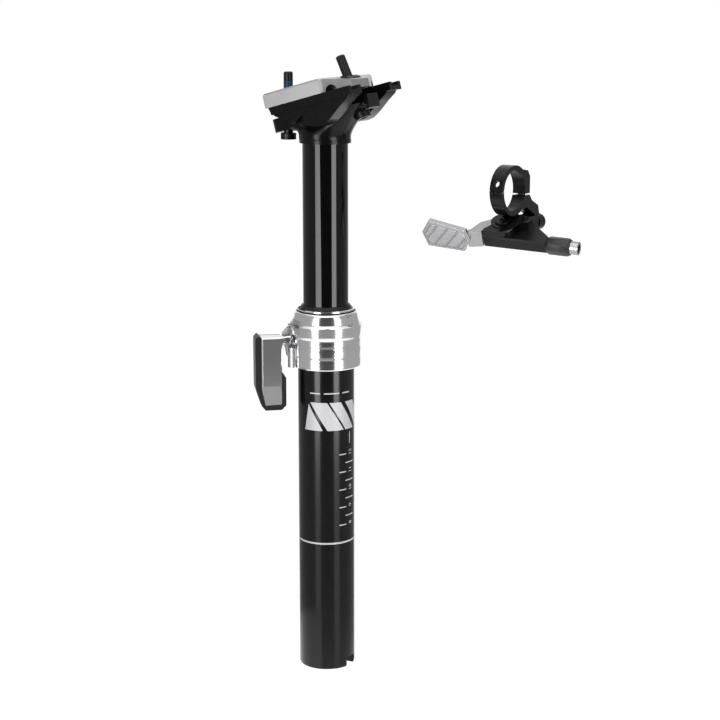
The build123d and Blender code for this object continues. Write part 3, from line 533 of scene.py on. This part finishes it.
VIEW_TURN = radians(29.0)
CAMERA_SIDE = atan2(cos(VIEW_TURN), -sin(VIEW_TURN))
RING_STEPS = 96
TICK_STEPS = 8
TICK_HALF = 0.3 * MM
LONG_TICK = (radians(28.0), radians(45.0))
SHORT_TICK = (radians(43.0), radians(68.0))
TOP_LINE = (radians(54.5), radians(56.5))
TOP_LINE_SHARES = (0.55, 1.2)
NUMBER_TURN = radians(58.0)
NUMBER_SIZE = 3.4 * MM
NUMBER_RISE = 0.6 * MM
NUMBER_STRIP = 0.6 * MM
PRINT_WELD = 0.001 * MM

# The slanted bands, the wedge beside them and the short bars: heights, and places across the tube
BAND_LOW, BAND_HIGH = 137.3 * MM, 152.9 * MM
BAND_LEAN = 9.8 * MM
BAND_STARTS_AND_WIDTHS = ((-8.9 * MM, 9.6 * MM), (1.9 * MM, 6.6 * MM), (11.4 * MM, 6.6 * MM))
BAND_STRIP = 0.9 * MM
WEDGE_TIP, WEDGE_LEFT, WEDGE_RIGHT = -9.9 * MM, -12.6 * MM, -1.6 * MM
WEDGE_DROP = 1.0 * MM
BAR_LOW, BAR_HIGH = 157.6 * MM, 158.3 * MM
BARS = ((-8.9 * MM, -3.0 * MM), (-0.9 * MM, 7.6 * MM), (9.6 * MM, 14.6 * MM))


def sleeve_patch(work, low, high, left, right, radius, steps):
    """A thin patch of print on the tube between two heights and two turns from the camera's side."""
    start = Vector((radius, 0, low))
    first = work.verts.new(Matrix.Rotation(CAMERA_SIDE + left, 3, "Z") @ start)
    second = work.verts.new(first.co + Vector((0, 0, high - low)))
    edge = work.edges.new((first, second))
    bmesh.ops.spin(work, geom=[edge], cent=(0, 0, 0), axis=(0, 0, 1), angle=right - left, steps=steps,
                   use_merge=False, use_duplicate=False)


def flat_outline(work, points):
    work.faces.new([work.verts.new((across, height, 0)) for across, height in points])


def wrap(work, radius, step):
    """Cuts a flat drawing into strips and lays it round the tube: its middle faces the camera."""
    across = [vert.co.x for vert in work.verts]
    place = min(across) + step
    while place < max(across):
        bmesh.ops.bisect_plane(work, geom=[*work.verts, *work.edges, *work.faces], plane_co=(place, 0, 0),
                               plane_no=(1, 0, 0))
        place += step
    for vert in work.verts:
        turn = CAMERA_SIDE + vert.co.x / radius
        vert.co = Vector((radius * cos(turn), radius * sin(turn), vert.co.y))


def number_drawing(text, size):
    """A flat mesh of a number in the built-in typeface."""
    curve = bpy.data.curves.new("number", "FONT")
    curve.body = text
    curve.size = size
    curve.align_x = "CENTER"
    curve.align_y = "CENTER"
    holder = bpy.data.objects.new("number", curve)
    mesh = bpy.data.meshes.new_from_object(holder)
    work = bmesh.new()
    work.from_mesh(mesh)
    bpy.data.objects.remove(holder)
    bpy.data.curves.remove(curve)
    bpy.data.meshes.remove(mesh)
    return work


def outward(work):
    for face in work.faces:
        middle = face.calc_center_median()
        face.normal_update()
        if face.normal.dot(Vector((middle.x, middle.y, 0))) < 0:
            face.normal_flip()


class SEATPOST_OT_finishes(bpy.types.Operator):
    """Gives every frame node its finish"""
    bl_idname = "seatpost.finishes"
    bl_label = "Node finishes"

    def execute(self, context):
        for node, finish in NODE_FINISH.items():
            source = frame["nodes"][node]
            material = finish_named(finish)
            if source.data.materials:
                for place in range(len(source.data.materials)):
                    source.data.materials[place] = material
            else:
                source.data.materials.append(material)
        return {"FINISHED"}


class SEATPOST_OT_worked_edges(bpy.types.Operator):
    """Rounds the edges of the forged, machined and moulded pieces"""
    bl_idname = "seatpost.worked_edges"
    bl_label = "Worked edges"

    def execute(self, context):
        for node, width in ROUNDED.items():
            rounded_piece([node], joined_copy(node), width)
        rounded_piece(PLATE, seamless_copy(PLATE), PLATE_EDGE)
        for node in TURNED:
            worked_piece([node], joined_copy(node), TURNED_CREASE)
        work = joined_copy("upper_collar")
        recut_collar(work)
        collar = worked_piece(["upper_collar"], work, COLLAR_CREASE)
        collar.data.materials.append(finish_named("milled_silver"))
        # The groove's slot: black rubber as painted shade in the groove
        collar.data.materials.append(finish_named("rubber"))
        return {"FINISHED"}


class SEATPOST_OT_tube_marks(bpy.types.Operator):
    """Prints the insertion ring, the height scale and the plain bands on the outer tube"""
    bl_idname = "seatpost.tube_marks"
    bl_label = "Tube marks"

    def execute(self, context):
        marks = context.scene.seatpost_marks
        radius = TUBE_RADIUS + marks.lift
        self.scale(marks, radius)
        self.numbers(marks, radius)
        self.bands(radius)
        return {"FINISHED"}

    def scale(self, marks, radius):
        work = bmesh.new()
        ring_top = marks.ring_height + marks.ring_width
        sleeve_patch(work, marks.ring_height, ring_top, 0, 2 * pi, radius, RING_STEPS)
        for index in range(marks.scale_count * 2 - 1):
            height = marks.scale_low + index * marks.scale_step / 2
            left, right = LONG_TICK if index % 2 == 0 else SHORT_TICK
            sleeve_patch(work, height - TICK_HALF, height + TICK_HALF, left, right, radius, TICK_STEPS)
        top = marks.scale_low + (marks.scale_count - 1) * marks.scale_step
        foot, head = (top + marks.scale_step * share for share in TOP_LINE_SHARES)
        sleeve_patch(work, foot, head, *TOP_LINE, radius, 2)
        bmesh.ops.remove_doubles(work, verts=work.verts, dist=PRINT_WELD)
        outward(work)
        add_piece("tube_scale", work, "base", "print_white")

    def numbers(self, marks, radius):
        upright = Matrix.Rotation(pi / 2, 4, "Z")
        for index in range(marks.scale_count):
            work = number_drawing(str(marks.first_number + index), NUMBER_SIZE)
            height = marks.scale_low + index * marks.scale_step + NUMBER_RISE
            place = Matrix.Translation((radius * NUMBER_TURN, height, 0))
            bmesh.ops.transform(work, matrix=place @ upright, verts=work.verts)
            wrap(work, radius, NUMBER_STRIP)
            outward(work)
            add_piece(f"tube_number_{index + 1}", work, "base", "print_white")

    def bands(self, radius):
        work = bmesh.new()
        for start, width in BAND_STARTS_AND_WIDTHS:
            flat_outline(work, ((start, BAND_HIGH), (start + BAND_LEAN, BAND_LOW),
                                (start + width + BAND_LEAN, BAND_LOW), (start + width, BAND_HIGH)))
        wedge_top = BAND_HIGH - WEDGE_DROP
        flat_outline(work, ((WEDGE_TIP, wedge_top), (WEDGE_LEFT, BAND_LOW), (WEDGE_RIGHT, BAND_LOW)))
        for left, right in BARS:
            flat_outline(work, ((left, BAR_HIGH), (left, BAR_LOW), (right, BAR_LOW), (right, BAR_HIGH)))
        wrap(work, radius, BAND_STRIP)
        outward(work)
        add_piece("tube_bands", work, "base", "print_silver")


# Threads: a ridge's crest starts and ends, and its root begins, at these shares of one turn's height

CREST_START_SHARE, CREST_END_SHARE, ROOT_SHARE = 0.36, 0.5, 0.86
THREAD_STEPS = 24
THREAD_WELD = 0.004 * MM
THREAD_CREASE = 50.0
BOLT_RUNOUT = 0.6 * MM
BAND_BOLT_RUNOUT = 0.2 * MM


def threaded_shank(work, radius, depth, pitch, low, high):
    """A screw thread cut as one helix: rings of a ridge profile spun and climbed together."""
    turns = int((high - low) / pitch)
    root = radius - depth
    profile = ((root, 0), (radius, CREST_START_SHARE), (radius, CREST_END_SHARE), (root, ROOT_SHARE))
    verts = [work.verts.new((out, 0, low + rise * pitch)) for out, rise in profile]
    verts.append(work.verts.new((root, 0, low + pitch)))
    edges = [work.edges.new(pair) for pair in zip(verts, verts[1:])]
    bmesh.ops.spin(work, geom=edges, cent=(0, 0, 0), axis=(0, 0, 1), dvec=(0, 0, pitch / THREAD_STEPS),
                   angle=2 * pi * turns, steps=THREAD_STEPS * turns, use_merge=False, use_duplicate=False)
    bmesh.ops.remove_doubles(work, verts=work.verts, dist=THREAD_WELD)


def shank_tip(node, place):
    """Distance of a bolt's tip from its joint, along its axis."""
    back = place.inverted()
    return max((back @ vert.co).z for vert in frame["nodes"][node].data.vertices)


def joint_named(name):
    return next(joint for joint in frame["joints"] if joint["name"] == name)


class SEATPOST_OT_bolt_threads(bpy.types.Operator):
    """Cuts the threads on the two clamp bolts and adds the threadlocking patch"""
    bl_idname = "seatpost.bolt_threads"
    bl_label = "Bolt threads"

    def execute(self, context):
        settings = context.scene.seatpost_threads
        for end in ("front", "rear"):
            joint = joint_named(f"bolt_{end}_turn")
            turn = Vector(joint["axis"]).normalized().to_track_quat("Z", "X").to_matrix().to_4x4()
            place = Matrix.Translation(Vector(joint["pos_m"])) @ turn
            tip = shank_tip(f"clamp_bolt_{end}", place)
            radius = settings.radius + settings.lift
            self.thread(f"bolt_thread_{end}", "oxide_steel", end, settings, place, radius,
                        tip - settings.length, tip - BOLT_RUNOUT)
            if end == "front":
                self.thread("bolt_threadlock", "threadlock", end, settings, place,
                            radius + settings.lift * 2, tip - settings.patch_low, tip - settings.patch_high)
        self.band_bolt(settings)
        return {"FINISHED"}

    def thread(self, name, finish, end, settings, place, radius, low, high):
        work = bmesh.new()
        threaded_shank(work, radius, settings.depth, settings.pitch, low, high)
        bmesh.ops.transform(work, matrix=place, verts=work.verts)
        shade(add_piece(name, work, f"bolt_{end}", finish), THREAD_CREASE)

    def band_bolt(self, settings):
        """The short upright bolt between the two halves of the bar clamp, with its blue patch."""
        low, high = box_of("band_bolt")
        radius = (high.x - low.x) / 2 + settings.lift
        work = bmesh.new()
        threaded_shank(work, radius, settings.depth, settings.pitch, low.z + BAND_BOLT_RUNOUT,
                       high.z - BAND_BOLT_RUNOUT)
        bmesh.ops.translate(work, verts=work.verts, vec=((low.x + high.x) / 2, (low.y + high.y) / 2, 0))
        shade(add_piece("band_bolt_thread", work, "band", "threadlock"), THREAD_CREASE)


# Thumb paddle: how squarely its front faces forward, and how far in the first groove stands

FACES_FRONT = -0.99
FIRST_PANEL_SHARE = 0.6
PADDLE_WELD = 0.001 * MM


def perch_frame():
    """Place of the perch: x along the cable, z up the thumb lever's pivot."""
    pivot = joint_named("thumb_pivot")
    cable = Vector(joint_named("adjuster_turn")["axis"]).normalized()
    upward = -Vector(pivot["axis"]).normalized()
    turn = Matrix((cable, upward.cross(cable), upward)).transposed().to_4x4()
    return Matrix.Translation(Vector(pivot["pos_m"])) @ turn


class SEATPOST_OT_paddle_relief(bpy.types.Operator):
    """Cuts the raised rim and the slanted panels into the face of the thumb paddle"""
    bl_idname = "seatpost.paddle_relief"
    bl_label = "Paddle relief"

    def execute(self, context):
        settings = context.scene.seatpost_relief
        self.relief("paddle_rim", self.rim, "blasted_silver", settings)
        self.relief("paddle_panels", self.panels, "milled_silver", settings)
        return {"FINISHED"}

    def relief(self, name, make, finish, settings):
        place = perch_frame()
        work, front = self.paddle_face(place)
        make(settings, work, front)
        bmesh.ops.transform(work, matrix=place, verts=work.verts)
        shade(add_piece(name, work, "thumb", finish), CRISP_CREASE)

    def paddle_face(self, place):
        """The paddle's flat front by itself, in the perch's own frame."""
        work = joined_copy("thumb_lever")
        bmesh.ops.transform(work, matrix=place.inverted(), verts=work.verts)
        bmesh.ops.dissolve_limit(work, angle_limit=SAME_FACE, verts=work.verts, edges=work.edges)
        forward = [face for face in work.faces if face.normal.y < FACES_FRONT]
        front = max(forward, key=lambda face: face.calc_area())
        bmesh.ops.delete(work, geom=[face for face in work.faces if face is not front], context="FACES")
        return work, front

    def rim(self, settings, work, front):
        bmesh.ops.inset_region(work, faces=[front], thickness=settings.rim, use_boundary=True,
                               use_even_offset=True)
        bmesh.ops.delete(work, geom=[front], context="FACES_ONLY")
        raised = bmesh.ops.extrude_face_region(work, geom=list(work.faces), use_keep_orig=True)["geom"]
        moved = [item for item in raised if isinstance(item, bmesh.types.BMVert)]
        bmesh.ops.translate(work, verts=moved, vec=(0, -settings.height, 0))
        bmesh.ops.recalc_face_normals(work, faces=work.faces)

    def panels(self, settings, work, front):
        made = bmesh.ops.inset_region(work, faces=[front], thickness=settings.rim + settings.groove,
                                      use_boundary=True, use_even_offset=True)["faces"]
        bmesh.ops.delete(work, geom=made, context="FACES")
        way = Vector((cos(settings.lean), 0, sin(settings.lean)))
        reach = [vert.co.dot(way) for vert in work.verts]
        place = min(reach) + settings.panel * FIRST_PANEL_SHARE
        gaps = []
        while place < max(reach):
            for edge in (place, place + settings.groove):
                bmesh.ops.bisect_plane(work, geom=[*work.verts, *work.edges, *work.faces],
                                       plane_co=way * edge, plane_no=way)
            gaps.append((place, place + settings.groove))
            place += settings.groove + settings.panel
        grooves = [face for face in work.faces
                   if any(low < face.calc_center_median().dot(way) < high for low, high in gaps)]
        bmesh.ops.delete(work, geom=grooves, context="FACES")
        foot = bmesh.ops.duplicate(work, geom=list(work.faces))["geom"]
        bmesh.ops.inset_individual(work, faces=[face for face in work.faces if face not in foot],
                                   thickness=settings.height, depth=settings.height, use_even_offset=True)
        bmesh.ops.remove_doubles(work, verts=work.verts, dist=PADDLE_WELD)
        bmesh.ops.recalc_face_normals(work, faces=work.faces)


# Stage, in metres, with turns from the camera's side

FLOOR_HALF = 8.0
FLOOR_TONE = (0.6, 0.6, 0.6, 1.0)
FLOOR_ROUGHNESS = 0.9
FLOOR_GLOW = 0.8
TENT_TINT = (0.95, 0.97, 1.0, 1.0)
TENT_LIGHT = 0.42
CARD_RADIUS = 1.3
CARD_STEPS = 24
CARD_FOOT, CARD_WAIST, CARD_CHEST, CARD_TOP = -1.0, -0.14, 0.42, 1.6
BACK_LEFT, LEFT_EDGE, LEFT_FRONT = -150.0, -46.0, -24.0
RIGHT_FRONT, RIGHT_EDGE, BACK_RIGHT = 32.0, 54.0, 150.0
CARDS = (
    ("card_front", LEFT_FRONT, RIGHT_FRONT, CARD_WAIST, CARD_TOP, 0.07),
    ("card_front_low", LEFT_FRONT, RIGHT_FRONT, CARD_FOOT, CARD_WAIST, 0.3),
    ("card_left", BACK_LEFT, LEFT_EDGE, CARD_FOOT, CARD_TOP, 0.42),
    ("card_right", RIGHT_EDGE, BACK_RIGHT, CARD_FOOT, CARD_TOP, 0.42),
    ("card_low_left", LEFT_EDGE, LEFT_FRONT, CARD_FOOT, CARD_WAIST, 1.3),
    ("card_low_right", RIGHT_FRONT, RIGHT_EDGE, CARD_FOOT, CARD_WAIST, 1.3),
    ("card_high_left", LEFT_EDGE, LEFT_FRONT, CARD_CHEST, CARD_TOP, 1.7),
    ("card_high_right", RIGHT_FRONT, RIGHT_EDGE, CARD_CHEST, CARD_TOP, 1.7),
)

# Lamps: turn, width, height, distance, rise, height aimed at (0 is their own) and watts
LIGHT_CENTRE = 0.17
LAMPS = (
    ("softbox_left", -34.8, 0.42, 0.56, 1.1, -0.03, 0, 5.6),
    ("softbox_right", 43.0, 0.42, 0.56, 1.1, -0.03, 0, 5.6),
    ("overhead", 0, 1.6, 1.6, 0.4, 1.5, LIGHT_CENTRE, 8.0),
)

SENSOR_WIDTH = 36.0
CAMERA_BACK, CAMERA_SIDEWAYS, CAMERA_HEIGHT = 0.925, 0.0185, 0.37


def seen_directly(nodes):
    """1 for rays from the camera and for those mirrored or passed on, 0 for the rest."""
    camera, glossy, passed = (nodes.node("ShaderNodeLightPath", outlet=name)
                              for name in ("Is Camera Ray", "Is Glossy Ray", "Is Transmission Ray"))
    return camera.join("MAXIMUM", glossy).join("MAXIMUM", passed)


class SEATPOST_OT_stage(bpy.types.Operator):
    """Sets the floor, the studio light and the camera"""
    bl_idname = "seatpost.stage"
    bl_label = "Stage"

    def execute(self, context):
        stage = context.scene.seatpost_stage
        work = bmesh.new()
        bmesh.ops.create_grid(work, x_segments=1, y_segments=1, size=FLOOR_HALF)
        bmesh.ops.translate(work, verts=work.verts, vec=(0, 0, -stage.floor_drop))
        mesh = bpy.data.meshes.new("floor")
        work.to_mesh(mesh)
        work.free()
        floor = bpy.data.objects.new("floor", mesh)
        context.collection.objects.link(floor)
        mesh.materials.append(self.floor_paint())
        self.world(context)
        self.cards(context)
        self.lamps(context)
        self.camera(context, stage)
        return {"FINISHED"}

    def floor_paint(self):
        finish = Finish("pale_floor")
        finish.set(Base_Color=FLOOR_TONE, Roughness=FLOOR_ROUGHNESS, Specular_IOR_Level=0.0)
        glow = finish.node("ShaderNodeEmission", None, WHITE, seen_directly(finish) * FLOOR_GLOW)
        finish.show(finish.node("ShaderNodeAddShader", None, finish.shader, glow))
        return finish.material

    def world(self, context):
        world = bpy.data.worlds.new("studio")
        context.scene.world = world
        world.use_nodes = True
        nodes = Nodes(world.node_tree)
        tent = nodes.node("ShaderNodeBackground", None, TENT_TINT, TENT_LIGHT)
        seen = nodes.node("ShaderNodeBackground", None, WHITE, 1.0)
        mix = nodes.node("ShaderNodeMixShader", None, seen_directly(nodes), tent, seen)
        nodes.node("ShaderNodeOutputWorld", None, mix)

    def cards(self, context):
        """Grey cards round the object that only its reflections see."""
        for name, left, right, low, high, brightness in CARDS:
            work = bmesh.new()
            sleeve_patch(work, low, high, radians(left), radians(right), CARD_RADIUS, CARD_STEPS)
            mesh = bpy.data.meshes.new(name)
            work.to_mesh(mesh)
            work.free()
            card = bpy.data.objects.new(name, mesh)
            context.collection.objects.link(card)
            finish = Finish(name)
            tone = (brightness, brightness, brightness, 1.0)
            finish.show(finish.node("ShaderNodeEmission", None, tone, 1.0))
            mesh.materials.append(finish.material)
            card.visible_camera = False
            card.visible_diffuse = False
            card.visible_shadow = False
            card.visible_transmission = False

    def lamps(self, context):
        centre = Vector((0, 0, LIGHT_CENTRE))
        for name, turn, width, height, distance, rise, aim, power in LAMPS:
            lamp = bpy.data.lights.new(name, "AREA")
            lamp.shape = "RECTANGLE"
            lamp.size = width
            lamp.size_y = height
            lamp.energy = power
            holder = bpy.data.objects.new(name, lamp)
            context.collection.objects.link(holder)
            angle = CAMERA_SIDE + radians(turn)
            holder.location = centre + Vector((cos(angle) * distance, sin(angle) * distance, rise))
            facing = Vector((0, 0, aim or holder.location.z)) - holder.location
            holder.rotation_euler = facing.to_track_quat("-Z", "Y").to_euler()

    def camera(self, context, stage):
        lens = bpy.data.cameras.new("photo_view")
        lens.lens = stage.lens
        lens.sensor_width = SENSOR_WIDTH
        view = bpy.data.objects.new("photo_view", lens)
        context.collection.objects.link(view)
        context.scene.camera = view
        ahead = Vector((sin(VIEW_TURN), -cos(VIEW_TURN), 0))
        side = Vector((-cos(VIEW_TURN), -sin(VIEW_TURN), 0))
        view.location = side * CAMERA_SIDEWAYS - ahead * CAMERA_BACK + Vector((0, 0, CAMERA_HEIGHT))
        sight = ahead * cos(stage.tilt) - Vector((0, 0, sin(stage.tilt)))
        view.rotation_euler = sight.to_track_quat("-Z", "Y").to_euler()


class SEATPOST_PT_panel(bpy.types.Panel):
    """Lists the pieces and their settings"""
    bl_label = "Seatpost"
    bl_idname = "SEATPOST_PT_panel"
    bl_space_type = "VIEW_3D"
    bl_region_type = "UI"
    bl_category = "Seatpost"

    def draw(self, context):
        scene = context.scene
        for settings in (scene.seatpost_look, scene.seatpost_marks, scene.seatpost_threads,
                         scene.seatpost_relief, scene.seatpost_stage):
            column = self.layout.column()
            for name in settings.__annotations__:
                column.prop(settings, name)
        for operator in OPERATORS:
            self.layout.operator(operator.bl_idname)


OPERATORS = (SEATPOST_OT_finishes, SEATPOST_OT_worked_edges, SEATPOST_OT_tube_marks,
             SEATPOST_OT_bolt_threads, SEATPOST_OT_paddle_relief, SEATPOST_OT_stage)
CLASSES = (LookSettings, MarkSettings, ThreadSettings, ReliefSettings, StageSettings,
           *OPERATORS, SEATPOST_PT_panel)


def register():
    for item in CLASSES:
        bpy.utils.register_class(item)
    bpy.types.Scene.seatpost_look = bpy.props.PointerProperty(type=LookSettings)
    bpy.types.Scene.seatpost_marks = bpy.props.PointerProperty(type=MarkSettings)
    bpy.types.Scene.seatpost_threads = bpy.props.PointerProperty(type=ThreadSettings)
    bpy.types.Scene.seatpost_relief = bpy.props.PointerProperty(type=ReliefSettings)
    bpy.types.Scene.seatpost_stage = bpy.props.PointerProperty(type=StageSettings)


def unregister():
    del bpy.types.Scene.seatpost_look
    del bpy.types.Scene.seatpost_marks
    del bpy.types.Scene.seatpost_threads
    del bpy.types.Scene.seatpost_relief
    del bpy.types.Scene.seatpost_stage
    for item in reversed(CLASSES):
        bpy.utils.unregister_class(item)


def main():
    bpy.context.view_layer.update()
    register()
    bpy.context.scene.view_settings.view_transform = "Standard"
    bpy.ops.seatpost.finishes()
    bpy.ops.seatpost.worked_edges()
    bpy.ops.seatpost.tube_marks()
    bpy.ops.seatpost.bolt_threads()
    bpy.ops.seatpost.paddle_relief()
    bpy.ops.seatpost.stage()


if __name__ == "__main__":
    main()
